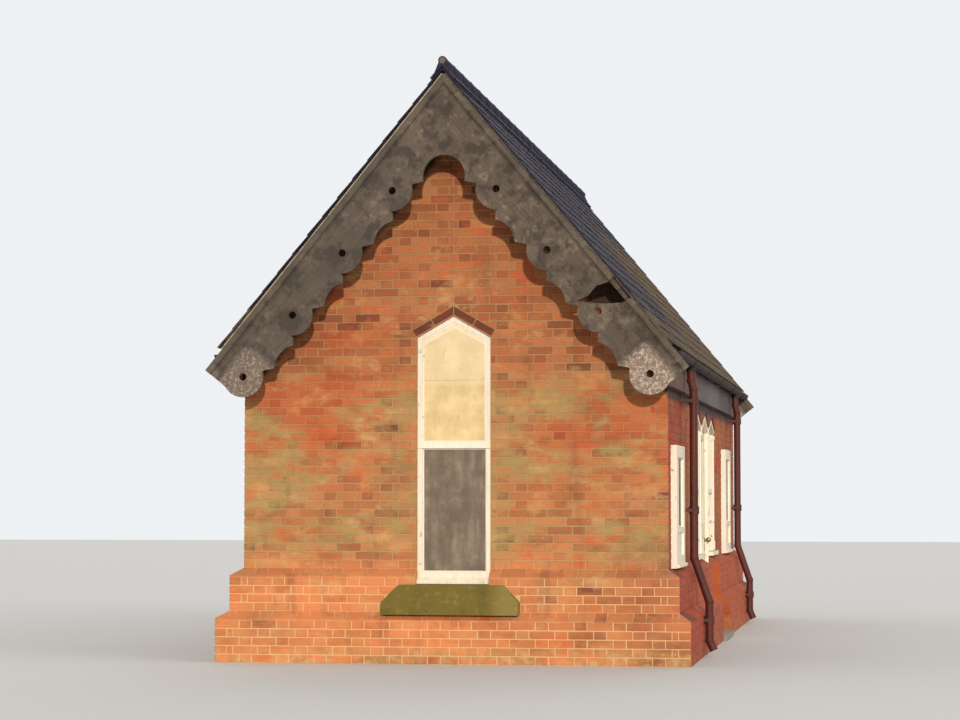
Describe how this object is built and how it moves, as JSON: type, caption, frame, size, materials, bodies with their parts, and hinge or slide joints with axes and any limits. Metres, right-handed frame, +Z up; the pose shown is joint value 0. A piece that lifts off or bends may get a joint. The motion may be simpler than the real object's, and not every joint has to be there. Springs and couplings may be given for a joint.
{
  "type": "railway station waiting room building",
  "caption": "Small hollow brick platform waiting room with a steep slated gable roof, pierced scalloped bargeboards, pointed windows and a hinged entrance door.",
  "frame": {"origin": "at platform level under the middle of the building", "axes": "+X towards the platform edge, +Y along the platform and the ridge, +Z up"},
  "size_m": [4.4494, 9.96, 5.2595],
  "materials": {
    "brick": "weathered orange-brown stock brick with pale mortar",
    "floor": "worn stone flags",
    "step_stone": "worn stone",
    "sill_stone": "stone covered in green algae",
    "glass": "dusty grey glass",
    "cream_boards": "cream paint on board",
    "door_paint": "cream gloss paint, flaking",
    "white_paint": "white gloss paint, flaking",
    "slate": "dark blue-violet slate with moss near the eaves",
    "roof_boards": "dark old boarding",
    "ridge_clay": "dull blue-grey fired clay",
    "weathered_board": "bare grey-brown timber with flaking old paint",
    "eave_paint": "dark grey-blue paint, weathered",
    "iron": "dark maroon paint on cast iron"
  },
  "bodies": {
    "building": {"floor_slab": "floor", "threshold": "step_stone", "front_gable_wall": "brick", "back_gable_wall": "brick", "platform_wall_near": "brick", "platform_wall_far": "brick", "platform_wall_head": "brick", "rear_wall": "brick", "front_sill": "sill_stone", "back_sill": "sill_stone", "front_window_frame": "white_paint", "back_window_frame": "white_paint", "front_window_panels": "cream_boards", "back_window_panels": "cream_boards", "front_window_glass": "glass", "back_window_glass": "glass", "near_window_frame": "white_paint", "far_window_frame": "white_paint", "near_window_glass": "glass", "far_window_glass": "glass", "rear_near_window_frame": "white_paint", "rear_far_window_frame": "white_paint", "rear_near_window_glass": "glass", "rear_far_window_glass": "glass", "entrance_frame": "white_paint", "entrance_glass": "glass", "roof_slates_platform": "slate", "roof_slates_rear": "slate", "roof_boards_platform": "roof_boards", "roof_boards_rear": "roof_boards", "ridge_tiles": "ridge_clay", "front_bargeboard_left": "weathered_board", "front_bargeboard_right": "weathered_board", "back_bargeboard_left": "weathered_board", "back_bargeboard_right": "weathered_board", "eave_boards_platform": "eave_paint", "eave_boards_rear": "eave_paint", "gutter_platform": "iron", "gutter_rear": "iron", "downpipe_platform_near": "iron", "downpipe_platform_far": "iron", "downpipe_rear_near": "iron", "downpipe_rear_far": "iron"},
    "door": {"door_leaf": "door_paint", "door_glass": "glass"}
  },
  "joints": [
    {"name": "door_hinge", "type": "hinge", "parent": "building", "child": "door", "pos_m": [1.782, -0.43, 0], "axis": [0, 0, 1], "range_deg": [0, 90]}
  ]
}
